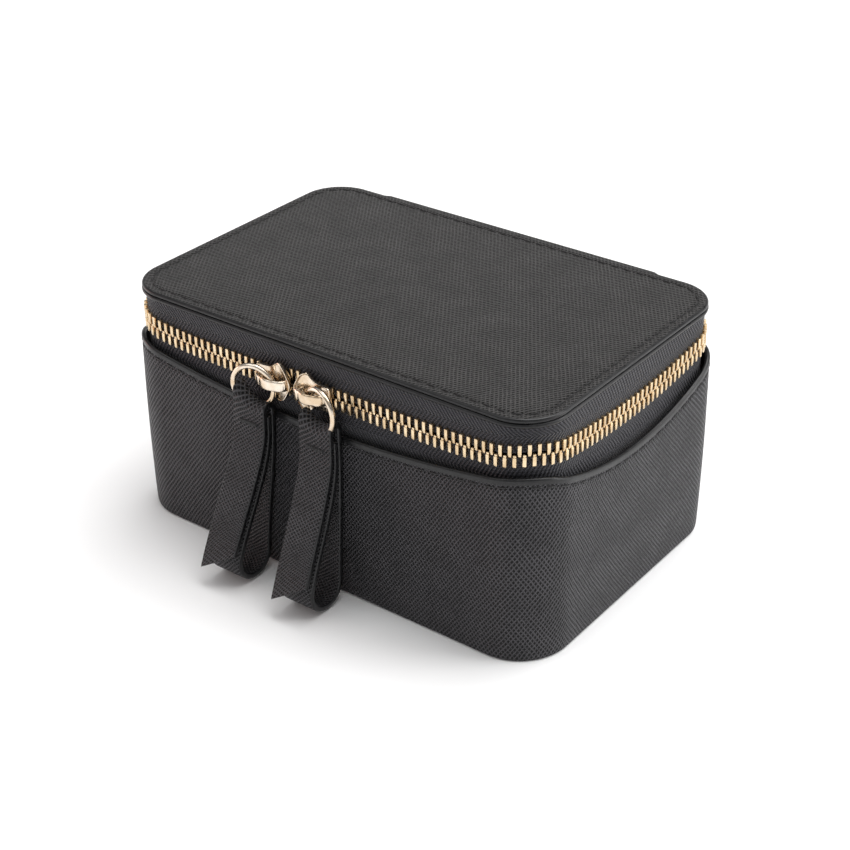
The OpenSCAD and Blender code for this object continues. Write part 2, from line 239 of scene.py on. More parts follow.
def grid(name, points, u, v, wrap_i, wrap_j, materials, mat_of=None, sharp=SHARP):
    """A mesh over a grid of points[i, j]. u[i] and v[j] are lengths in mm, one longer than a side that
    wraps. mat_of gives a quad's material number from its j."""
    n, m = points.shape[:2]
    faces = grid_faces(n, m, wrap_i, wrap_j)
    lay, mats = [], []
    for f in faces:
        if len(f) == 4:
            i, j = divmod(f[0], m)
            lay += [(u[i], v[j]), (u[i + 1], v[j]), (u[i + 1], v[j + 1]), (u[i], v[j + 1])]
            mats.append(mat_of(j) if mat_of else 0)
        else:
            lay += [tuple(points[divmod(k, m)][:2]) for k in f]
            mats.append(0)
    return make_mesh(name, points.reshape(-1, 3), faces, lay, mats, materials, sharp)


def lengths(path, closed):
    """Running length along a path of points, back to its start if closed."""
    path = np.asarray(path, float)
    ends = np.vstack([path[1:], path[:1]]) if closed else path[1:]
    starts = path if closed else path[:-1]
    return np.concatenate([[0], np.cumsum(np.linalg.norm(ends - starts, axis=1))])


def directions(path):
    """Unit steps along a path of points."""
    steps = np.gradient(path, axis=0)
    return steps / np.linalg.norm(steps, axis=1)[:, None]


def outline_steps(half):
    """Distances from mid front, about STEP apart, all the way round an outline."""
    count = int(round(2 * half / STEP))
    return -half + 2 * half * np.arange(count) / count


def round_sweep(name, hx, hy, r, section, materials, span=None, mat_of=None):
    """Sweeps a closed section round an outline: all of it, or from -span to span. section(x, y) gives
    one (out, z) pair for each point of the section."""
    half = half_round(hx, hy, r)
    if span is None:
        s = outline_steps(half)
        u = np.append(s, half)
    else:
        count = int(round(2 * span / STEP))
        s = np.linspace(-span, span, count + 1)
        u = s
    x, y, nx, ny = walk(s, hx, hy, r)
    rows = section(x, y)
    out = np.stack([np.broadcast_to(p[0], x.shape) for p in rows], 1)
    z = np.stack([np.broadcast_to(p[1], x.shape) for p in rows], 1)
    points = np.stack([x[:, None] + out * nx[:, None], y[:, None] + out * ny[:, None], z], 2)
    mid = len(s) // 2
    v = lengths(np.stack([out[mid], z[mid]], 1), True)
    return grid(name, points, u, v, span is None, True, materials, mat_of)


def arc(cx, cz, r, a0, a1, count):
    """(out, z) pairs on an arc, from a0 to a1 degrees."""
    angles = np.radians(np.linspace(a0, a1, count))
    return [(cx + r * math.cos(a), cz + r * math.sin(a)) for a in angles]


def soft_box(size, centre, round_r, cuts):
    """Points and faces of a block with rounded edges."""
    work = bmesh.new()
    bmesh.ops.create_cube(work, size=1.0)
    bmesh.ops.scale(work, vec=Vector(size), verts=work.verts)
    bmesh.ops.bevel(work, geom=list(work.edges), offset=round_r, segments=cuts, profile=0.5,
                    affect="EDGES")
    points = np.array([v.co for v in work.verts]) + np.array(centre)
    faces = [tuple(v.index for v in f.verts) for f in work.faces]
    work.free()
    return points, faces


def merge(parts):
    """Joins (points, faces) pairs into one."""
    points, faces, start = [], [], 0
    for p, f in parts:
        points.append(p)
        faces += [tuple(i + start for i in one) for one in f]
        start += len(p)
    return np.vstack(points), faces


def turned_copy(shape, origin, x_axis, y_axis, z_axis):
    """A (points, faces) shape with its own axes laid along the given ones, at origin."""
    points, faces = shape
    return origin + points[:, :1] * x_axis + points[:, 1:2] * y_axis + points[:, 2:] * z_axis, faces


def outline_frames(x, y, z, nx, ny):
    """(point, tangent, outward normal) at each place of walk()."""
    level = 0 * x
    return list(zip(np.stack([x, y, z + level], 1), np.stack([-ny, nx, level], 1),
                    np.stack([nx, ny, level], 1)))


def place(obj, body, node):
    """Rides the piece on a body and hides the CAD node that it stands for."""
    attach(obj, body)
    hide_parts(node)


# ---- Materials ----

class Shader:
    """A material's nodes, made with short calls."""

    def __init__(self, name, **constants):
        self.material = bpy.data.materials.new(name)
        self.material.use_nodes = True
        self.tree = self.material.node_tree
        self.bsdf = self.tree.nodes["Principled BSDF"]
        for key, value in constants.items():
            self.bsdf.inputs[key.replace("_", " ")].default_value = value

    def node(self, kind, inputs=(), **settings):
        made = self.tree.nodes.new("ShaderNode" + kind)
        for key, value in settings.items():
            setattr(made, key, value)
        for key, value in dict(inputs).items():
            if isinstance(value, bpy.types.NodeSocket):
                self.tree.links.new(value, made.inputs[key])
            else:
                made.inputs[key].default_value = value
        return made

    def lay(self):
        """Place on the piece's own surface, in mm."""
        return self.node("Attribute", attribute_name="lay").outputs["Vector"]

    def at(self):
        """Place in the object's space, in metres."""
        return self.node("TexCoord").outputs["Object"]

    def turned(self, vector, degrees, scale=(1, 1, 1)):
        turn = (0, 0, math.radians(degrees))
        return self.node("Mapping", {"Vector": vector, "Rotation": turn, "Scale": scale}).outputs[0]

    def noise(self, vector, scale, detail, rough=0.5):
        values = {"Vector": vector, "Scale": scale, "Detail": detail, "Roughness": rough}
        return self.node("TexNoise", values).outputs["Fac"]

    def wave(self, vector, pitch, distortion, detail, detail_scale):
        """Ridges at a pitch, along the vector's first axis."""
        values = {"Vector": vector, "Scale": math.pi / 10 / pitch, "Distortion": distortion,
                  "Detail": detail, "Detail Scale": detail_scale}
        return self.node("TexWave", values, bands_direction="X").outputs["Fac"]

    def math(self, operation, a, b, c=0.0):
        return self.node("Math", {0: a, 1: b, 2: c}, operation=operation).outputs[0]

    def span(self, value, a, b, low=0.0, high=1.0):
        """Maps a to b onto low to high."""
        values = {"Value": value, "From Min": a, "From Max": b, "To Min": low, "To Max": high}
        return self.node("MapRange", values).outputs[0]

    def colours(self, factor, first, second):
        made = self.node("Mix", {"Factor": factor}, data_type="RGBA")
        made.inputs[6].default_value = (*first, 1)
        made.inputs[7].default_value = (*second, 1)
        return made.outputs[2]

    def bump(self, height, distance, strength, under=None):
        """Bump of a depth in mm, over another bump if under is given."""
        values = {"Height": height, "Distance": distance * MM, "Strength": strength}
        if under is not None:
            values["Normal"] = under
        return self.node("Bump", values).outputs[0]

    def link(self, name, value):
        self.tree.links.new(value, self.bsdf.inputs[name])


GRAIN_BENDS = {"distortion": 1.7, "detail": 2.0, "detail_scale": 0.7}
GRAIN_POWER = 1.4
LEATHER_ROUGH, LEATHER_WORN_ROUGH = 0.60, 0.36


def leather(name, dark, light, pitch, lean, second, depth):
    """Cross-hatched embossed leather: two sets of fine ridges, lean degrees either side of upright.
    pitch and depth are in mm. second is the strength of the second set."""
    m = Shader(name, Specular_IOR_Level=0.26)
    lay = m.lay()
    one = m.math("POWER", m.wave(m.turned(lay, lean), pitch, **GRAIN_BENDS), GRAIN_POWER)
    two = m.math("POWER", m.wave(m.turned(lay, -lean), pitch * 1.06, **GRAIN_BENDS), GRAIN_POWER)
    drift = m.span(m.noise(lay, 0.09, 2), 0.35, 0.65, second * 0.6, second)
    ridges = m.math("MAXIMUM", one, m.math("MULTIPLY", two, drift))
    height = m.math("MULTIPLY_ADD", m.noise(lay, 2.2, 3, 0.6), 0.5, ridges)
    wide = m.noise(lay, 0.05, 4, 0.55)
    m.link("Normal", m.bump(height, depth, 1.0, m.bump(wide, 0.9, 0.25)))
    # Base colour: random tone from noise, plus a painted highlight that lightens the raised ridges.
    tone_and_ridge_highlight = m.math("MULTIPLY_ADD", m.noise(lay, 0.7, 3), 0.5, m.math("MULTIPLY", ridges, 0.75))
    m.link("Base Color", m.colours(m.span(tone_and_ridge_highlight, 0.42, 0.92), dark, light))
    rubbed = m.math("MULTIPLY_ADD", wide, 0.5, tone_and_ridge_highlight)
    m.link("Roughness", m.span(rubbed, 0.4, 1.3, LEATHER_ROUGH, LEATHER_WORN_ROUGH))
    return m.material


def edge_paint():
    """The smooth painted or turned edge of the leather."""
    m = Shader("edge_paint", Specular_IOR_Level=0.38)
    at = m.at()
    ripple = m.noise(at, 700, 3)
    dark, light = (0.003, 0.003, 0.0035), (0.010, 0.010, 0.011)
    m.link("Base Color", m.colours(m.span(ripple, 0.3, 0.7), dark, light))
    m.link("Roughness", m.span(m.noise(at, 240, 3), 0.3, 0.7, 0.26, 0.42))
    m.link("Normal", m.bump(ripple, 0.05, 0.5))
    return m.material


CHEVRON_W, CHEVRON_SLOPE = 4.2, 0.7
TWILL_PITCH, YARN_PITCH = 1.25, 0.75


def zip_tape():
    """Twill tape woven in chevrons along its length."""
    m = Shader("zip_tape", Sheen_Weight=0.12, Sheen_Roughness=0.4, Specular_IOR_Level=0.3)
    lay = m.lay()
    parts = m.node("SeparateXYZ", {0: lay})
    fold = m.math("MULTIPLY", m.math("PINGPONG", parts.outputs[1], CHEVRON_W), CHEVRON_SLOPE)
    chevrons = {0: m.math("ADD", parts.outputs[0], fold), 1: 0.0, 2: 0.0}
    twill = m.wave(m.node("CombineXYZ", chevrons).outputs[0], TWILL_PITCH, 0.7, 1.0, 1.0)
    yarn = m.wave(m.turned(lay, 90), YARN_PITCH, 0.6, 1.0, 1.5)
    weave = m.math("MULTIPLY_ADD", yarn, 0.4, twill)
    fuzz = m.noise(lay, 5, 3, 0.6)
    m.link("Normal", m.bump(m.math("MULTIPLY_ADD", fuzz, 0.3, weave), 0.34, 1.0))
    shade = m.span(m.math("MULTIPLY_ADD", fuzz, 0.5, weave), 0.2, 1.6)
    m.link("Base Color", m.colours(shade, (0.001, 0.001, 0.002), (0.046, 0.045, 0.054)))
    m.link("Roughness", m.span(weave, 0.0, 1.3, 0.8, 0.5))
    return m.material


TWIST_PITCH = 0.00022


def thread():
    """Waxed thread with a fine twist."""
    m = Shader("thread", Specular_IOR_Level=0.4)
    at = m.at()
    twist = m.wave(m.turned(at, 45), TWIST_PITCH, 1.0, 1.0, 2.0)
    m.link("Normal", m.bump(twist, 0.06, 0.7))
    m.link("Base Color", m.colours(twist, (0.008, 0.008, 0.008), (0.030, 0.029, 0.030)))
    m.link("Roughness", m.span(m.noise(at, 900, 2), 0.3, 0.7, 0.5, 0.7))
    return m.material


def metal(name, base, painted_shade_tone, rough):
    """Plated metal with faint polishing marks, and random patches of a darker tone as painted shade."""
    m = Shader(name, Metallic=1.0)
    at = m.at()
    marks = m.noise(m.turned(at, 20, (1, 1, 0.25)), 1500, 3, 0.6)
    shade_patches = m.noise(at, 260, 2)
    # Base colour: the darker tone is painted shade, spread in cloudy noise patches.
    m.link("Base Color", m.colours(m.span(shade_patches, 0.35, 0.7), painted_shade_tone, base))
    m.link("Roughness", m.span(marks, 0.3, 0.7, rough * 0.75, rough * 1.4))
    m.link("Normal", m.bump(marks, 0.006, 0.5))
    return m.material


def velvet(name, dark, light):
    """Short-pile velvet."""
    m = Shader(name, Sheen_Weight=0.75, Sheen_Roughness=0.35, Specular_IOR_Level=0.15)
    at = m.at()
    pile = m.noise(at, 2600, 4, 0.7)
    sweep = m.noise(at, 55, 3, 0.55)
    shade = m.span(m.math("MULTIPLY_ADD", pile, 0.4, sweep), 0.4, 1.0)
    m.link("Base Color", m.colours(shade, dark, light))
    m.link("Normal", m.bump(pile, 0.16, 0.8, m.bump(sweep, 0.5, 0.35)))
    m.link("Roughness", m.span(pile, 0.3, 0.7, 0.95, 0.8))
    return m.material


def elastic():
    """Ribbed elastic band."""
    m = Shader("elastic", Specular_IOR_Level=0.25)
    lay = m.lay()
    ribs = m.wave(lay, 0.9, 0.2, 1.0, 2.0)
    m.link("Normal", m.bump(m.math("MULTIPLY_ADD", m.noise(lay, 4, 2), 0.3, ribs), 0.2, 0.8))
    m.link("Base Color", m.colours(ribs, (0.012, 0.012, 0.013), (0.045, 0.044, 0.045)))
    m.link("Roughness", m.span(ribs, 0, 1, 0.85, 0.65))
    return m.material


def board():
    """Grey-brown fibre board."""
    m = Shader("board", Specular_IOR_Level=0.2)
    at = m.at()
    fibre = m.noise(m.turned(at, 0, (1, 4, 1)), 420, 5, 0.7)
    dark, light = (0.20, 0.17, 0.13), (0.38, 0.33, 0.26)
    m.link("Base Color", m.colours(m.span(fibre, 0.35, 0.65), dark, light))
    m.link("Normal", m.bump(fibre, 0.1, 0.6))
    m.link("Roughness", m.span(fibre, 0.3, 0.7, 0.9, 0.75))
    return m.material


WALL_LEATHER = leather("wall_leather_grain", (0.0005, 0.0005, 0.0008), (0.066, 0.063, 0.069),
                       pitch=1.05, lean=38, second=1.0, depth=0.55)
LID_LEATHER = leather("lid_leather_grain", (0.001, 0.001, 0.001), (0.067, 0.063, 0.062),
                      pitch=1.08, lean=34, second=0.8, depth=0.60)
STRAP_LEATHER = leather("strap_leather_grain", (0.0005, 0.0005, 0.0008), (0.064, 0.062, 0.067),
                        pitch=0.98, lean=42, second=1.0, depth=0.55)
EDGE = edge_paint()
TAPE = zip_tape()
THREAD = thread()
# The second colour of each metal is the tone of its painted shade.
TEETH_METAL = metal("teeth_gold", (0.84, 0.68, 0.46), (0.60, 0.44, 0.26), 0.26)
HARDWARE = metal("hardware_gold", (0.82, 0.74, 0.64), (0.64, 0.50, 0.35), 0.2)
VELVET = velvet("velvet_charcoal", (0.030, 0.028, 0.030), (0.075, 0.070, 0.074))
ELASTIC = elastic()
BOARD = board()

# ---- Leather body ----

BELLY, BELLY_STEPS = 0.35, 12
STITCH_DROP = 2.8
EDGE_R, EDGE_OUT, EDGE_POINTS = 0.8, 0.05, 11
WALL_FOOT = 0.1
# Sections as (out, up) points: the turned foot from the floor, and the groove round the stitch line.
FOOT_TURN = ((-0.9, 0.0), (-0.5, 0.1), (-0.15, 0.45), (-0.03, 1.1))
GROOVE = ((0.0, -0.95), (-0.05, -0.6), (-0.2, -0.25), (-0.28, 0.0), (-0.2, 0.25), (-0.02, 0.6),
          (0.05, 0.95))


def wall_section(x, y):
    """Outer face, stitched groove, rounded top edge and inner face of the wall leather."""
    top = wall_line(x, y)
    rows = [(out, WALL_FOOT + up) for out, up in FOOT_TURN]
    for t in np.linspace(0.06, 0.96, BELLY_STEPS):
        rows.append((BELLY * math.sin(math.pi * t), WALL_FOOT + t * (top - 4.2 - WALL_FOOT)))
    rows += [(out, top - STITCH_DROP + up) for out, up in GROOVE]
    over = arc(-EDGE_R, -EDGE_R, EDGE_R, 0, 180, EDGE_POINTS)
    rows += [(out + EDGE_OUT, top + up) for out, up in over]
    inner = EDGE_OUT - LEATHER_T
    return rows + [(inner, top - 6.0), (inner, WALL_FOOT)]


def make_wall():
    first = len(FOOT_TURN) + BELLY_STEPS + len(GROOVE)
    edge = range(first - 1, first + EDGE_POINTS - 2)
    wall = round_sweep("wall_skin", BODY_HX, BODY_HY, BODY_R, wall_section, [WALL_LEATHER, EDGE],
                       mat_of=lambda j: 1 if j in edge else 0)
    place(wall, "case", "wall_leather")


def disc(name, hx, hy, r, rows, materials, mat_of=None):
    """A solid inside a rounded outline. rows are (out, z), or (out, share, z) for a row that is scaled
    towards the centre. out may be a function of x and y."""
    x, y, nx, ny = walk(outline_steps(half_round(hx, hy, r)), hx, hy, r)
    columns = []
    for out, *share, z in rows:
        share = share[0] if share else 1
        out = out(x, y) if callable(out) else out
        columns.append(np.stack([(x + out * nx) * share, (y + out * ny) * share, z + 0 * x], 1))
    points = np.stack(columns, 1)
    n, m = points.shape[:2]
    faces = grid_faces(n, m, True, False)
    lay, mats = [], []
    flat = points.reshape(-1, 3)
    for f in faces:
        lay += [tuple(flat[k][:2]) for k in f]
        mats.append(mat_of(f[0] % m) if mat_of and len(f) == 4 else 0)
    return make_mesh(name, flat, faces, lay, mats, materials)


SOLE_GAP, SOLE_LOW_R, SOLE_TOP_R, SOLE_FLAT = 0.05, 0.5, 0.4, -7.0


def make_base_panel():
    """The sole, set inside the foot of the wall."""
    inset = -LEATHER_T - SOLE_GAP
    rows = [(SOLE_FLAT, 0.0)]
    rows += arc(inset - SOLE_LOW_R, SOLE_LOW_R, SOLE_LOW_R, -90, 0, 5)
    top_z = BOTTOM_T - SOLE_TOP_R
    rows += arc(inset - SOLE_TOP_R, top_z, SOLE_TOP_R, 0, 90, 5)
    rows += [(SOLE_FLAT, BOTTOM_T)]
    panel = disc("base_sole", BODY_HX, BODY_HY, BODY_R, rows, [WALL_LEATHER])
    place(panel, "case", "base_panel")


# ---- Lid ----

LID_EDGE_R = (LID_TOP - LID_UNDER) / 2
LID_STITCH_IN = 3.3
LID_FLAT_IN, LID_RISE, LID_CROWN = 11.0, 0.12, 0.35
LID_DENT = ((1.6, 0.03), (1.0, 0.0), (0.6, -0.06), (0.3, -0.2), (0.0, -0.28), (-0.3, -0.2),
            (-0.6, -0.06), (-1.0, 0.0), (-2.0, 0.04))
WELT_OUT, WELT_IN = 0.15, -3.4
HINGE_HX = HINGE_HI[0]
HINGE_STEP, HINGE_STEP_PAST, HINGE_STEP_RUN = 0.9, 0.6, 1.4


def back_step(out):
    """The lid's edge stands a little further out along the leather hinge."""
    def stepped(x, y):
        on_back = np.where(y > LID_HY - 2, 1.0, 0.0)
        from_end = HINGE_HX + HINGE_STEP_PAST - np.abs(x)
        return out + HINGE_STEP * on_back * ramp(from_end / HINGE_STEP_RUN)
    return stepped


def make_lid_panel():
    rows = [(-6.0, LID_UNDER)]
    rim = arc(-LID_EDGE_R, LID_UNDER + LID_EDGE_R, LID_EDGE_R, -90, 90, 13)
    rows += [(back_step(out), z) for out, z in rim]
    edge_end = len(rows) - 1
    rows += [(-LID_STITCH_IN + d, LID_TOP + dz) for d, dz in LID_DENT]
    rows += [(-8.0, LID_TOP + 0.08), (-LID_FLAT_IN, LID_TOP + LID_RISE)]
    for share in np.linspace(0.93, 0.04, 16):
        rows.append((-LID_FLAT_IN, share, LID_TOP + LID_RISE + LID_CROWN * (1 - share ** 2)))
    top = disc("lid_top", LID_HX, LID_HY, LID_R, rows, [LID_LEATHER, EDGE],
               mat_of=lambda j: 1 if j < edge_end else 0)
    place(top, "lid", "lid_panel")


def make_lid_welt():
    mid = (WELT_UNDER + LID_UNDER) / 2
    r = (LID_UNDER - WELT_UNDER) / 2

    def section(x, y):
        rows = [(back_step(out + WELT_OUT)(x, y), z) for out, z in arc(-r, mid, r, -90, 90, 11)]
        return rows + [(WELT_IN, LID_UNDER), (WELT_IN, WELT_UNDER)]

    welt = round_sweep("lid_edge_welt", LID_HX, LID_HY, LID_R, section, [EDGE])
    place(welt, "lid", "lid_welt")


# ---- Zip ----

TAPE_HALF = half_round(TAPE_HX, TAPE_HY, TAPE_R)
TAPE_SPAN = TAPE_HALF - HINGE_HX
ROW_GAP = 0.5
TAPE_FOOT = node_box("lower_tape")[0][2]
BEAD_R, BEAD_IN = 0.55, -0.2
STOP_LEN = 3.0
STOP_SIZE, EAR_SIZE = (2.0, 1.3, 2.9), (1.2, 0.9, 0.8)
LEG_START, HEAD_H = 0.35, 1.5


def make_tapes():
    """Both tapes, each with a corded bead of radius BEAD_R along the edge that holds its teeth."""
    def lower(x, y):
        edge = chain_line(x, y) - ROW_GAP - parting(x, y)
        rows = [(0.0, TAPE_FOOT), (0.0, 52.0), (0.06, 57.0)]
        rows += [(0.0, edge - 4.6), (0.0, edge - 1.3)]
        rows += [(out, edge + dz) for out, dz in arc(BEAD_IN, -BEAD_R, BEAD_R, 0, 180, 9)]
        rows += [(-TAPE_T, edge - 1.4), (-TAPE_T, TAPE_FOOT)]
        return rows

    def upper(x, y):
        edge = chain_line(x, y) + ROW_GAP + parting(x, y)
        rows = [(-TAPE_T, WELT_UNDER), (-TAPE_T, edge + 1.4)]
        rows += [(out, edge + dz) for out, dz in arc(BEAD_IN, BEAD_R, BEAD_R, 180, 360, 9)]
        rows += [(0.0, edge + 1.3), (0.05, edge + 4.0), (0.25, WELT_UNDER - 1.0), (0.3, WELT_UNDER)]
        return rows

    low = round_sweep("zip_tape_lower", TAPE_HX, TAPE_HY, TAPE_R, lower, [TAPE], TAPE_SPAN)
    place(low, "case", "lower_tape")
    high = round_sweep("zip_tape_upper", TAPE_HX, TAPE_HY, TAPE_R, upper, [TAPE], TAPE_SPAN)
    place(high, "lid", "upper_tape")


def tooth_shape(side):
    """One tooth: a leg clamped on the tape and a slimmer head that laps past the centre line."""
    leg_size = (TOOTH_W, TOOTH_T + 0.3, TOOTH_H - LEG_START)
    leg = soft_box(leg_size, (0, -TOOTH_T / 2 + 0.15, side * (TOOTH_H + LEG_START) / 2), 0.22, 2)
    head_size = (TOOTH_W - 0.16, TOOTH_T - 0.2, HEAD_H)
    head = soft_box(head_size, (0, -TOOTH_T / 2 + 0.1, side * (HEAD_H / 2 - TOOTH_LAP)), 0.26, 2)
    return merge([leg, head])


def along_tape(shape, places, side):
    """Upright copies of a shape on the tape's outer face. side: -1 is the lower row, 1 the upper."""
    x, y, nx, ny = walk(places, TAPE_HX, TAPE_HY, TAPE_R)
    z = chain_line(x, y) + side * parting(x, y)
    return merge([turned_copy(shape, at, tangent, -normal, UP)
                  for at, tangent, normal in outline_frames(x, y, z, nx, ny)])


def make_teeth():
    count = int((TAPE_SPAN - STOP_LEN - TOOTH_W) / TOOTH_PITCH)
    lower = along_tape(tooth_shape(-1), TOOTH_PITCH * np.arange(-count, count + 1), -1)
    upper = along_tape(tooth_shape(1), TOOTH_PITCH * (np.arange(-count, count) + 0.5), 1)
    gold = [TEETH_METAL]
    place(make_mesh("zip_teeth_lower", *lower, materials=gold), "case", "lower_teeth")
    place(make_mesh("zip_teeth_upper", *upper, materials=gold), "lid", "upper_teeth")
    end = TAPE_SPAN - STOP_LEN / 2
    for side, name, body in ((-1, "lower_stops", "case"), (1, "upper_stops", "lid")):
        block = soft_box(STOP_SIZE, (0, -0.45, side * 1.95), 0.4, 3)
        ear = soft_box(EAR_SIZE, (0, -0.3, side * 3.3), 0.25, 2)
        stops = along_tape(merge([block, ear]), np.array([-end, end]), side)
        place(make_mesh("zip_" + name, *stops, materials=gold), body, name)


# ---- Stitches ----

STITCH_PITCH = 4.6
STITCH_LEN = 3.3
STITCH_R = 0.27
STITCH_DIVE = 0.34
STITCH_SUNK = 0.2
SLOPE_STEP = 0.5


def capsule(length, radius, dive, around=8, rings=9):
    """A stitch along X that lies on the surface z = 0 and goes down by dive at both ends."""
    t = np.linspace(-1, 1, rings)
    angles = full_turn(around)
    rows = []
    for k in t:
        r = radius * math.sqrt(max(1 - abs(k) ** 5, 0.02))
        rise = radius * 0.4 - dive * abs(k) ** 3
        rows.append([(k * length / 2, r * math.cos(a), rise + r * math.sin(a)) for a in angles])
    return np.array(rows).reshape(-1, 3), grid_faces(rings, around, False, True)


def stitch_places(half):
    """Distances from mid front of stitches that go evenly all the way round."""
    count = int(half / STITCH_PITCH)
    return (np.arange(-count + 1, count + 1) - 0.5) * half / count


def place_threads(name, copies, body, node):
    place(make_mesh(name, *merge(copies), materials=[THREAD]), body, node)


def make_stitches():
    shape = capsule(STITCH_LEN, STITCH_R, STITCH_DIVE)
    s = stitch_places(half_round(BODY_HX, BODY_HY, BODY_R))
    x, y, nx, ny = walk(s, BODY_HX, BODY_HY, BODY_R)
    ahead = walk(s + SLOPE_STEP, BODY_HX, BODY_HY, BODY_R)
    slope = (wall_line(ahead[0], ahead[1]) - wall_line(x, y)) / SLOPE_STEP
    z = wall_line(x, y) - STITCH_DROP
    copies = []
    for (at, level, normal), rise in zip(outline_frames(x, y, z, nx, ny), slope):
        tangent = (level + UP * rise) / math.hypot(1, rise)
        copies.append(turned_copy(shape, at - normal * STITCH_SUNK, tangent, np.cross(normal, tangent),
                                  normal))
    place_threads("wall_thread", copies, "case", "wall_stitches")
    hx, hy, r = LID_HX - LID_STITCH_IN, LID_HY - LID_STITCH_IN, LID_R - LID_STITCH_IN
    x, y, nx, ny = walk(stitch_places(half_round(hx, hy, r)), hx, hy, r)
    copies = [turned_copy(shape, at, tangent, normal, UP)
              for at, tangent, normal in outline_frames(x, y, LID_TOP - STITCH_SUNK, nx, ny)]
    place_threads("lid_thread", copies, "lid", "lid_stitches")


# ---- Leather hinge ----

CREASE_DEPTH, CREASE_WAVES, CREASE_REACH = 0.16, 1.9, 3.2


def make_hinge():
    """One strip of leather from inside the wall up to the lid's welt, creased along the hinge line."""
    y0, y1 = HINGE_LO[1], HINGE_HI[1]
    z = np.linspace(HINGE_LO[2], WELT_UNDER + 0.2, 64)
    above = z - CHAIN_Z
    crease = CREASE_DEPTH * np.sin(above * CREASE_WAVES) * np.exp(-(above / CREASE_REACH) ** 2)
    outer = np.stack([y1 + crease, z], 1)
    inner = np.stack([y0 + crease * 0.5, z], 1)[::-1]
    section = np.vstack([outer, inner])
    x = np.linspace(-HINGE_HX, HINGE_HX, 54)
    points = np.zeros((len(x), len(section), 3))
    points[:, :, 0] = x[:, None]
    points[:, :, 1:] = section[None]
    v = lengths(section, True)
    hinge = grid("hinge_leather", points, x, v, False, True, [WALL_LEATHER], sharp=50)
    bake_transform(hinge)
    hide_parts("hinge_leaf_lower", "hinge_leaf_upper")


# ---- Sliders ----

SLIDER_MID = (SLIDER_LO[0] + SLIDER_HI[0]) / 2
SLIDER_LEFT_MID = (SLIDER_LEFT_LO[0] + SLIDER_LEFT_HI[0]) / 2
PLATE_T = 1.1
PLATE_Y = TAPE_HY + TOOTH_T + 0.3
FACE_Y = PLATE_Y + PLATE_T
SLIDER_W = SLIDER_HI[0] - SLIDER_LO[0]
SHOULDER_H = (SLIDER_HI[2] - SLIDER_LO[2]) / 2
CROWN_OUT = -SLIDER_LO[1] - PLATE_Y - PLATE_T
CROWN_LEN, CROWN_T, CROWN_H, CROWN_R, CROWN_BOW = 12.0, 1.2, 3.5, 2.9, 0.7
CROWN_SQUARE, CROWN_SUNK = 0.72, 0.5
# Rows of the plate from its hidden edge to its middle: share of the outline, out, height of the rim.
PLATE_ROWS = ((0.9, 0.0, 0), (0.985, 0.05, 0), (1.0, 0.3, 0), (1.0, PLATE_T - 0.25, 0.3),
              (0.985, PLATE_T, 0.55), (0.955, PLATE_T + 0.05, 0.55), (0.93, PLATE_T + 0.02, 0.15),
              (0.88, PLATE_T + 0.04, 0), (0.7, PLATE_T + 0.16, 0), (0.45, PLATE_T + 0.25, 0),
              (0.15, PLATE_T + 0.28, 0))


def smooth_loop(corners, count):
    """A smooth closed line through corner points, with count points from each to the next."""
    corners = np.asarray(corners, float)
    n = len(corners)
    rows = []
    for k in range(n):
        a, b, c, d = (corners[(k + o) % n] for o in (-1, 0, 1, 2))
        for t in np.arange(count) / count:
            rows.append(0.5 * (2 * b + (c - a) * t + (2 * a - 5 * b + 4 * c - d) * t ** 2
                               + (3 * b - a - 3 * c + d) * t ** 3))
    return np.array(rows)


def slider_plate(nose):
    """Domed shield with a raised rim round its nose. Local x runs from nose to tail, z up."""
    h = SHOULDER_H
    half = [(nose, 0.0), (nose + 1.0, 0.42 * h), (nose + 2.6, 0.82 * h), (nose + 4.4, h),
            (nose + 5.4, 0.93 * h), (nose + 7.4, 0.70 * h), (nose + 10.0, 0.62 * h),
            (nose + SLIDER_W - 0.7, 0.60 * h), (nose + SLIDER_W, 0.40 * h)]
    outline = smooth_loop(half + [(x, -z) for x, z in half[:0:-1]], 6)
    centre = np.array([nose + SLIDER_W / 2, 0])
    nose_side = ramp((nose + 5.6 - outline[:, 0]) / 2.5)
    columns = []
    for share, out, rim in PLATE_ROWS:
        xz = centre + (outline - centre) * share
        columns.append(np.stack([xz[:, 0], -(PLATE_Y + out + rim * nose_side), xz[:, 1]], 1))
    points = np.stack(columns, 1)
    return points.reshape(-1, 3), grid_faces(*points.shape[:2], True, False)


def bar_along(path, half_t, half_h, square):
    """A flat bar swept along a level path of (x, y) points. Its section is an oval where square is 1,
    and squarer where it is less."""
    path = np.asarray(path, float)
    tangent = directions(path)
    normal = np.stack([-tangent[:, 1], tangent[:, 0]], 1)
    angles = full_turn(24)
    section = np.stack([half_t * squared(np.cos(angles), square),
                        half_h * squared(np.sin(angles), square)], 1)
    points = np.zeros((len(path), len(section), 3))
    points[:, :, :2] = path[:, None] + normal[:, None] * section[None, :, :1]
    points[:, :, 2] = section[None, :, 1]
    return points.reshape(-1, 3), grid_faces(len(path), len(section), False, True)


def crown_path():
    """Plan of the crown: out from the plate, along in front of it and back, as (x, out) points."""
    hl, out = CROWN_LEN / 2 - CROWN_T / 2, CROWN_OUT - CROWN_T / 2 - CROWN_BOW
    rows = [(-hl, -CROWN_SUNK)]
    rows += [(-hl + CROWN_R + x, out - CROWN_R + y) for x, y in arc(0, 0, CROWN_R, 170, 90, 9)]
    flat = hl - CROWN_R
    rows += [(x, out + CROWN_BOW * (1 - (x / flat) ** 2)) for x in np.linspace(-flat, flat, 15)[1:-1]]
    rows += [(hl - CROWN_R + x, out - CROWN_R + y) for x, y in arc(0, 0, CROWN_R, 90, 10, 9)]
    return rows + [(hl, -CROWN_SUNK)]


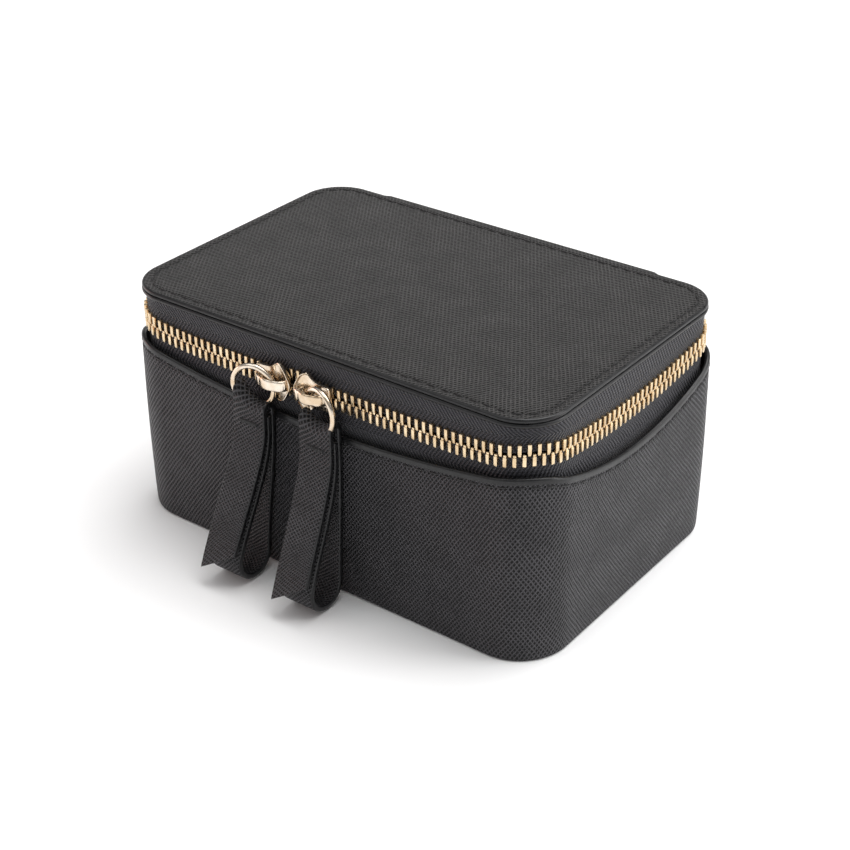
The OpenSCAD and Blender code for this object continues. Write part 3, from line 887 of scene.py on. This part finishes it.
def slider_shape():
    """Both plates and the crown, nose at -X, about the slider's middle. The neck that joins the plates
    is left out: the teeth lap there."""
    nose = SLIDER_LO[0] - SLIDER_MID
    band = [(x, -(FACE_Y + out)) for x, out in crown_path()]
    crown = bar_along(band, CROWN_T / 2, CROWN_H / 2, CROWN_SQUARE)
    lug = soft_box((2.0, 1.6, 1.9), (nose + 1.9, -(FACE_Y + 0.9), 0), 0.35, 3)
    foot = soft_box((1.9, 0.9, 3.0), (CROWN_LEN / 2 - 0.6, -(FACE_Y + 0.2), 0), 0.3, 2)
    lip = soft_box((8.4, 2.0, 0.8), (nose + 7.2, -(PLATE_Y - 0.2), -4.05), 0.25, 2)
    inner = soft_box((10.9, 1.0, 6.4), (nose + 6.5, -(TAPE_HY - TAPE_T - 0.8), 0), 0.35, 3)
    return merge([slider_plate(nose), crown, lug, foot, lip, inner])


def make_sliders():
    points, faces = slider_shape()
    for name, middle, side in (("slider_right", SLIDER_MID, 1), ("slider_left", SLIDER_LEFT_MID, -1)):
        moved = points * np.array([side, 1, 1]) + np.array([middle, 0, CHAIN_Z])
        body = make_mesh(name + "_casting", moved, faces, materials=[HARDWARE], sharp=48)
        place(body, name, name)


# ---- Pull rings and straps ----

RING_TURN = 15.0
WIRE_R = 0.85
CAD_WIRE_R = 0.8
RING_R = (node_box("pull_ring_right")[1][2] - node_box("pull_ring_right")[0][2]) / 2 - CAD_WIRE_R
RING_STEPS, WIRE_STEPS = 96, 20
TAIL_LEN, TAIL_LEAN, TAIL_SLANT = 48.0, 20.5, 7.5
STACK_LEN = 7.0
LOOP_R, LOOP_LEAN, LOOP_HALF_ANGLE = 7.6, 2.5, 9.0
SLANT_FROM = 24
TACK_DROP, TACK_W, TACK_PITCH, TACK_SLANT = 4.5, 6.0, 0.42, 0.12
# The fold over the ring: how far its ends stand above its middle, and its tilt towards one side.
FOLD_LIFT = 2.6
FOLD_SKEW = {"left": 2.4, "right": 0.7}
FOLD_MIDDLE, FOLD_REACH = 14, 8.0
# The straps hang lower than in the CAD and swing sideways towards their lower ends.
STRAP_DROP = 2.2
SWAY = {"left": -2.6, "right": 0.5}
LOW_Z = node_box("pull_strap_right")[0][2]


def make_ring(name, side):
    """The ring's wire. Returns the ring's centre."""
    lo, hi = node_box("pull_ring_" + name)
    centre = (lo + hi) / 2
    turn = math.radians(-side * RING_TURN)
    along = np.array([math.cos(turn), math.sin(turn), 0])
    normal = np.array([-math.sin(turn), math.cos(turn), 0])
    around, tube = full_turn(RING_STEPS), full_turn(WIRE_STEPS)
    a, b = (v[..., None] for v in np.meshgrid(around, tube, indexing="ij"))
    radial = along * np.cos(a) + UP * np.sin(a)
    points = centre + radial * (RING_R + WIRE_R * np.cos(b)) + normal * WIRE_R * np.sin(b)
    u, v = RING_R * np.append(around, 2 * math.pi), WIRE_R * np.append(tube, 2 * math.pi)
    ring = grid("ring_wire_" + name, points, u, v, True, True, [HARDWARE])
    place(ring, "pull_" + name, "pull_ring_" + name)
    return centre


def bezier(a, b, c, d, count):
    t = np.linspace(0, 1, count)[:, None]
    a, b, c, d = (np.array(p, float) for p in (a, b, c, d))
    return (1 - t) ** 3 * a + 3 * (1 - t) ** 2 * t * b + 3 * (1 - t) * t * t * c + t ** 3 * d


def heading(degrees):
    """Unit (y, z) step downwards, leaning forwards by degrees."""
    a = math.radians(degrees)
    return np.array([-math.sin(a), -math.cos(a)])


def strap_path(loop_z):
    """Side-on middle line of the strap from the tail's tip: up, over the ring, down, round the loop and
    up again, as (y, z) from the wire's lowest point. Also returns how many belong to the tail."""
    lay = STRAP_T
    down = heading(TAIL_LEAN)
    stack = np.array([-lay, -STACK_LEN + 1])
    tip = stack + TAIL_LEN * down
    tail = bezier(tip, tip - down * 17, stack + np.array([0, -9.0]), stack, 46)
    rise = bezier(stack, stack * [1, 0.7], stack * [1, 0.3], (-lay, 0), 8)[1:]
    over = np.array(arc(0, 0, lay, 180, 0, 15))[1:]
    fall = bezier((lay, 0), (lay, -2), (lay, -5), (lay, -STACK_LEN), 8)[1:]
    rear, front = heading(LOOP_LEAN), heading(LOOP_LEAN + 2 * LOOP_HALF_ANGLE)
    r = LOOP_R - lay / 2
    apex = np.array([1.5 * lay, 1.2])
    axis = heading(LOOP_LEAN + LOOP_HALF_ANGLE)
    centre = apex + axis * (loop_z + apex[1] - LOOP_R) / abs(axis[1])
    bend = np.array(arc(*centre, r, -LOOP_LEAN, -LOOP_LEAN - 180 - 2 * LOOP_HALF_ANGLE, 40))
    back = bezier(fall[-1], fall[-1] + [0, -12], bend[0] - rear * 14, bend[0], 28)[1:-1]
    end = np.array([0.0, -STACK_LEN])
    fore = bezier(bend[-1], bend[-1] - front * 14, end + [0, -12], end, 28)[1:]
    last = bezier(end, end * 0.8, end * 0.5, (0, -1.9), 5)[1:]
    return np.vstack([tail, rise, over, fall, back, bend, fore, last]), len(tail)


STRAP_EDGE_R, STRAP_SIDE = 0.55, 0.35


def strap_section():
    """Rounded cross-section as (across, out) points, with extra points along both faces."""
    rows = []
    w, t = STRAP_W / 2 - STRAP_EDGE_R, STRAP_T / 2 - STRAP_EDGE_R
    for sx, sz, a in ((1, 1, 0), (-1, 1, 90), (-1, -1, 180), (1, -1, 270)):
        for b in (math.radians(a + turn) for turn in (4, 30, 60, 86)):
            rows.append((sx * w + STRAP_EDGE_R * math.cos(b), sz * t + STRAP_EDGE_R * math.sin(b)))
        if a in (0, 180):
            rows += [(sx * w * k, sz * STRAP_T / 2) for k in (0.6, 0.2, -0.2, -0.6)]
    return np.array(rows)


def make_strap(name, ring_centre):
    lo, hi = node_box("pull_strap_" + name)
    top = ring_centre[2] - RING_R
    middle = np.array([(lo[0] + hi[0]) / 2, ring_centre[1] - 0.1, top])
    path, tail_count = strap_path(top - LOW_Z + STRAP_DROP)
    tangent = directions(path)
    normal = np.stack([tangent[:, 1], -tangent[:, 0]], 1)
    section = strap_section()
    run = lengths(path, False)
    from_stack = run[tail_count - 1] - run
    cut = TAIL_SLANT * ramp((from_stack - SLANT_FROM) / (TAIL_LEN - SLANT_FROM))
    across, out = section[:, 0], section[:, 1]
    shift = cut[:, None] * (0.5 + across[None] / STRAP_W)
    yz = path[:, None] + tangent[:, None] * shift[:, :, None] + normal[:, None] * out[None, :, None]
    points = np.zeros((*yz.shape[:2], 3))
    points[:, :, 0] = across
    points[:, :, 1:] = yz
    at = across[None] / (STRAP_W / 2)
    near_fold = np.exp(-((run - run[tail_count + FOLD_MIDDLE]) / FOLD_REACH) ** 2)[:, None]
    points[:, :, 2] += (FOLD_LIFT * at ** 2 - FOLD_SKEW[name] * at) * near_fold
    points[:, :, 0] += SWAY[name] * ramp(-points[:, :, 2] / (top - LOW_Z))
    points += middle
    face_mid = abs(across + np.roll(across, -1)) / 2
    side_faces = set(np.flatnonzero(face_mid > STRAP_W / 2 - STRAP_SIDE))
    strap = grid("strap_leather_" + name, points, run, lengths(section, True), False, True,
                 [STRAP_LEATHER, EDGE], mat_of=lambda j: 1 if j in side_faces else 0, sharp=50)
    place(strap, "pull_" + name, "pull_strap_" + name)
    shape = capsule(1.5, 0.26, 0.3, 8, 7)
    copies = []
    strands = int(TACK_W / TACK_PITCH)
    for k in range(strands + 1):
        x = -TACK_W / 2 + k * TACK_W / strands
        where = middle + np.array([x, -1.5 * STRAP_T - 0.1, -TACK_DROP])
        up = np.array([TACK_SLANT if k % 2 else -TACK_SLANT, 0, 1.0])
        copies.append(turned_copy(shape, where, up, np.array([1.0, 0, 0]), np.array([0, -1.0, 0])))
    place_threads("strap_tack_thread_" + name, copies, "pull_" + name, "strap_tack_" + name)


# ---- Interior ----

ROLL_BED_TOP = node_box("roll_bed")[1][2]
LINING_OUT = TAPE_T
LINING_IN = TAPE_T + LINING_T
LINING_MID = -(LINING_OUT + LINING_IN) / 2


def make_lining(name, body, node, far, rim, up, inner):
    """A velvet tray from far, round its rim and in. up is -1 for one that opens downwards."""
    rows = [(-LINING_OUT, far), (-LINING_OUT, rim - up * 0.4)]
    rows += arc(LINING_MID, rim - up * LINING_T / 2, LINING_T / 2, 0, up * 180, 9)
    rows += [(-LINING_IN - inward, z) for inward, z in inner]
    place(disc(name, TAPE_HX, TAPE_HY, TAPE_R, rows, [VELVET]), body, node)


def make_linings():
    lo, hi = node_box("base_lining")
    inner = [(0, z) for z in (50.0, 40.0, 25.0, 10.0, FLOOR_Z + 0.6)]
    inner += [(0.2, FLOOR_Z + 0.15), (0.7, FLOOR_Z)]
    make_lining("base_velvet", "case", "base_lining", lo[2], hi[2], 1, inner)
    lo, hi = node_box("lid_lining")
    ceiling = node_box("lid_pocket")[1][2]
    inner = [(0, ceiling - 0.8), (0.25, ceiling - 0.2), (0.9, ceiling)]
    make_lining("lid_velvet", "lid", "lid_lining", hi[2], lo[2], -1, inner)


PAD_FLAT = -6


def make_floor_pad():
    t = PAD_Z - FLOOR_Z
    rows = [(PAD_FLAT, FLOOR_Z), (-0.5, FLOOR_Z)]
    rows += arc(-t / 2, FLOOR_Z + t / 2, t / 2, -80, 80, 9)
    rows += [(-2.5, PAD_Z - 0.05), (PAD_FLAT, PAD_Z)]
    rows += [(PAD_FLAT, share, PAD_Z) for share in (0.8, 0.5, 0.2)]
    pad = disc("floor_pad_velvet", ROOM_HX, ROOM_HY, ROOM_R, rows, [VELVET])
    place(pad, "case", "floor_pad")


def room_edge(y):
    """Half width of the room at y."""
    past = np.maximum(np.abs(y) - (ROOM_HY - ROOM_R), 0)
    return ROOM_HX - ROOM_R + np.sqrt(np.maximum(ROOM_R ** 2 - past ** 2, 0))


PRESSED = 0.02
BED_GAP, ROOM_GAP = 0.03, 0.15
ROLL_SQUARE, ROLL_PUCKER, PUCKER_REACH, PUCKERS = 0.9, 0.035, 0.035, 14
ROLL_END, LEAST_SWELL = 26, 0.03


def make_rolls():
    """Stuffed ring rolls: round on top, with puckered ends. What would go below the bed or past the
    room's edge is pressed back to PRESSED of its reach."""
    for k in range(1, 5):
        name = f"ring_roll_{k}"
        lo, hi = node_box(name)
        middle, half_len = (lo + hi) / 2, (hi[1] - lo[1]) / 2
        end = np.linspace(0.9, 1, 12)
        t = np.concatenate([-end[::-1], np.linspace(-0.88, 0.88, 54), end])
        rx, rz = (hi[0] - lo[0]) / 2, (hi[2] - lo[2]) / 2
        at, a = np.meshgrid(t, full_turn(40), indexing="ij")
        swell = np.maximum(1 - abs(at) ** ROLL_END, LEAST_SWELL) ** 0.4
        near_end = np.exp(-((1 - abs(at)) / PUCKER_REACH) ** 2)
        pucker = 1 - ROLL_PUCKER * near_end * (0.5 + 0.5 * np.cos(a * PUCKERS + k))
        soft = 1 + 0.006 * np.sin(at * 17 + k * 2.1 + 2 * a) + 0.004 * np.sin(at * 41 + 5 * a + k)
        size = swell * pucker * soft
        px = middle[0] + rx * squared(np.cos(a), ROLL_SQUARE) * size
        py = middle[1] + at * half_len
        pz = middle[2] + rz * squared(np.sin(a), ROLL_SQUARE) * size
        bed = ROLL_BED_TOP + BED_GAP
        pz = np.where(pz < bed, bed + PRESSED * (pz - bed), pz)
        px -= np.sign(px) * np.maximum(np.abs(px) - room_edge(py) + ROOM_GAP, 0) * (1 - PRESSED)
        points = np.stack([px, py, pz], 2)
        u, v = (t + 1) * half_len, lengths(points[len(t) // 2 + 1], True)
        roll = grid(name + "_velvet", points, u, v, False, True, [VELVET], sharp=70)
        place(roll, "case", name)


def make_dividers():
    for name in ("roll_divider", "cross_divider"):
        lo, hi = node_box(name)
        points, faces = soft_box(hi - lo, (hi + lo) / 2, 0.7, 5)
        obj = make_mesh(name + "_velvet", points, faces, materials=[VELVET])
        place(obj, "case", name)


POCKET_FOLD = 7.6
POCKET_DEPTH, POCKET_SAG, POCKET_FADE = 0.75, 0.4, 4.0
CLOTH_T = 0.45
BAND_PUCKER, BAND_WAVE, BAND_DOWN = 0.45, 3.8, 1.35
BAND_T, BAND_EDGE_T, BAND_EDGE = 0.42, 0.35, 0.3


def make_pocket():
    """A gathered pocket under the lid, its folds running front to back, and its band of elastic."""
    lo, hi = node_box("lid_pocket")
    x = np.linspace(lo[0] + 0.4, hi[0] - 0.4, 340)
    y = np.linspace(lo[1] - 0.1, hi[1], 36)
    gx, gy = np.meshgrid(x, y, indexing="ij")
    share = (gy - y[0]) / (y[-1] - y[0])
    wander = 1.9 * np.sin(gy * 0.045 + gx * 0.05) + 1.1 * np.sin(gx * 0.19 + 1.0 - gy * 0.03)
    tall = 0.8 + 0.2 * np.sin(gx * 0.31 + gy * 0.05)
    fold = np.sin(2 * math.pi * (gx + wander) / POCKET_FOLD) * POCKET_DEPTH * (1 - 0.5 * share) * tall
    fade = ramp((np.minimum(gx - x[0], x[-1] - gx)) / POCKET_FADE)
    sag = POCKET_SAG * np.sin(math.pi * share) * fade
    low = hi[2] - 0.25 - CLOTH_T - (POCKET_DEPTH + fold) * fade - sag
    upper = np.stack([gx, gy, low + CLOTH_T], 2)
    lower = np.stack([gx, gy, low], 2)
    section = np.concatenate([lower, upper[:, ::-1]], 1)
    v = lengths(section[len(x) // 2], True)
    cloth = grid("pocket_cloth", section, x, v, False, True, [VELVET], sharp=80)
    place(cloth, "lid", "lid_pocket")
    lo, hi = node_box("pocket_elastic")
    x = np.linspace(lo[0], hi[0], 300)
    level = hi[2] - BAND_DOWN - BAND_PUCKER * np.sin(2 * math.pi * x / BAND_WAVE)
    half_w, middle = (hi[1] - lo[1]) / 2, (hi[1] + lo[1]) / 2
    near = half_w - BAND_EDGE
    ring = ((-half_w, 0.0), (-near, -BAND_EDGE_T), (0.0, -BAND_T), (near, -BAND_EDGE_T),
            (half_w, 0.0), (near, BAND_EDGE_T), (0.0, BAND_T), (-near, BAND_EDGE_T))
    points = np.stack([np.stack([x, middle + dy + 0 * x, level + dz], 1) for dy, dz in ring], 1)
    band = grid("pocket_band", points, x, lengths(points[0], True), False, True, [ELASTIC], sharp=60)
    place(band, "lid", "pocket_elastic")


def finish_boards():
    """The CAD nodes that stay get a fibre board finish."""
    for name in ("base_board", "lid_board", "roll_bed"):
        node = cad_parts[name]
        node.data.materials.clear()
        node.data.materials.append(BOARD)


# ---- Camera, light and floor ----

# Fitted to the photograph: degrees, lens and sensor in mm, and the place in mm.
CAM_AZ, CAM_EL, CAM_ROLL = 37.26, 30.22, -0.54
CAM_LENS, CAM_SENSOR = 73.02, 36
CAM_FAR, CAM_RIGHT, CAM_UP, CAM_AIM_Z = 548.96, 0.82, -4.71, 36.24


def make_camera():
    a, e, r = (math.radians(v) for v in (CAM_AZ, CAM_EL, CAM_ROLL))
    back = Vector((math.sin(a) * math.cos(e), -math.cos(a) * math.cos(e), math.sin(e)))
    level = Vector((math.cos(a), math.sin(a), 0))
    upright = back.cross(level)
    right = level * math.cos(r) + upright * math.sin(r)
    up = upright * math.cos(r) - level * math.sin(r)
    data = bpy.data.cameras.new("camera")
    data.sensor_width = CAM_SENSOR
    data.lens = CAM_LENS
    camera = new_object("camera", data)
    where = (Vector((0, 0, CAM_AIM_Z)) + back * CAM_FAR + right * CAM_RIGHT + up * CAM_UP) * MM
    camera.matrix_world = Matrix.Translation(where) @ Matrix((right, up, back)).transposed().to_4x4()
    bpy.context.scene.camera = camera


def area_light(name, where, aim, size, power, colour):
    data = bpy.data.lights.new(name, "AREA")
    data.shape = "RECTANGLE"
    data.size, data.size_y = size
    data.energy = power
    data.color = colour
    lamp = new_object(name, data)
    lamp.location = where
    lamp.rotation_euler = (Vector(aim) - Vector(where)).to_track_quat("-Z", "Y").to_euler()


# Area lights: name, place, aim (m), size (m), power (W) and colour.
LIGHTS = (
    ("key", (-0.35, -0.45, 0.80), (0, 0, 0.04), (0.5, 0.4), 0.9, (1, 1, 1)),
    ("side", (0.80, 0.45, 0.42), (0.05, 0, 0.04), (0.4, 0.5), 3.6, (1, 1, 1)),
    ("warm_end", (-0.70, -0.30, 0.12), (-0.06, -0.03, 0.04), (0.3, 0.25), 0.6, (1.0, 0.50, 0.42)),
)
SUN_POWER, SUN_SPREAD, SUN_TURN = 2.5, 50, (-18, 8)
FLOOR_HALF = 15.0
# The studio as (height, brightness), from the horizon at 0 to overhead at 1.
SKY = ((0.0, 1.0), (1.0, 0.68), (0.22, 1.0), (0.34, 0.12), (0.6, 0.3))


def make_studio():
    mesh = bpy.data.meshes.new("floor")
    corners = [(x * FLOOR_HALF, y * FLOOR_HALF, 0) for x, y in ((-1, -1), (1, -1), (1, 1), (-1, 1))]
    mesh.from_pydata(corners, [], [(0, 1, 2, 3)])
    floor = new_object("floor", mesh)
    m = Shader("floor_paper", Roughness=0.9, Specular_IOR_Level=0.0)
    m.link("Base Color", m.colours(m.noise(m.at(), 6, 2), (0.95,) * 3, (0.965,) * 3))
    mesh.materials.append(m.material)
    world = bpy.data.worlds.new("studio")
    bpy.context.scene.world = world
    world.use_nodes = True
    tree = world.node_tree
    back = tree.nodes["Background"]
    split = tree.nodes.new("ShaderNodeSeparateXYZ")
    tree.links.new(tree.nodes.new("ShaderNodeTexCoord").outputs["Generated"], split.inputs[0])
    glow = tree.nodes.new("ShaderNodeValToRGB")
    for k, (height, shade) in enumerate(SKY):
        stop = glow.color_ramp.elements[k] if k < 2 else glow.color_ramp.elements.new(height)
        stop.position, stop.color = height, (shade, shade, shade, 1)
    tree.links.new(split.outputs[2], glow.inputs[0])
    tree.links.new(glow.outputs[0], back.inputs[0])
    for light in LIGHTS:
        area_light(*light)
    sun = bpy.data.lights.new("overhead", "SUN")
    sun.energy = SUN_POWER
    sun.angle = math.radians(SUN_SPREAD)
    lamp = new_object("overhead", sun)
    lamp.rotation_euler = (*(math.radians(v) for v in SUN_TURN), 0)
    bpy.context.scene.view_settings.view_transform = "Standard"


make_camera()
make_wall()
make_base_panel()
make_lid_panel()
make_lid_welt()
make_tapes()
make_teeth()
make_stitches()
make_hinge()
make_sliders()
for pull, pull_side in (("left", -1), ("right", 1)):
    make_strap(pull, make_ring(pull, pull_side))
make_linings()
make_floor_pad()
make_rolls()
make_dividers()
make_pocket()
finish_boards()
make_studio()
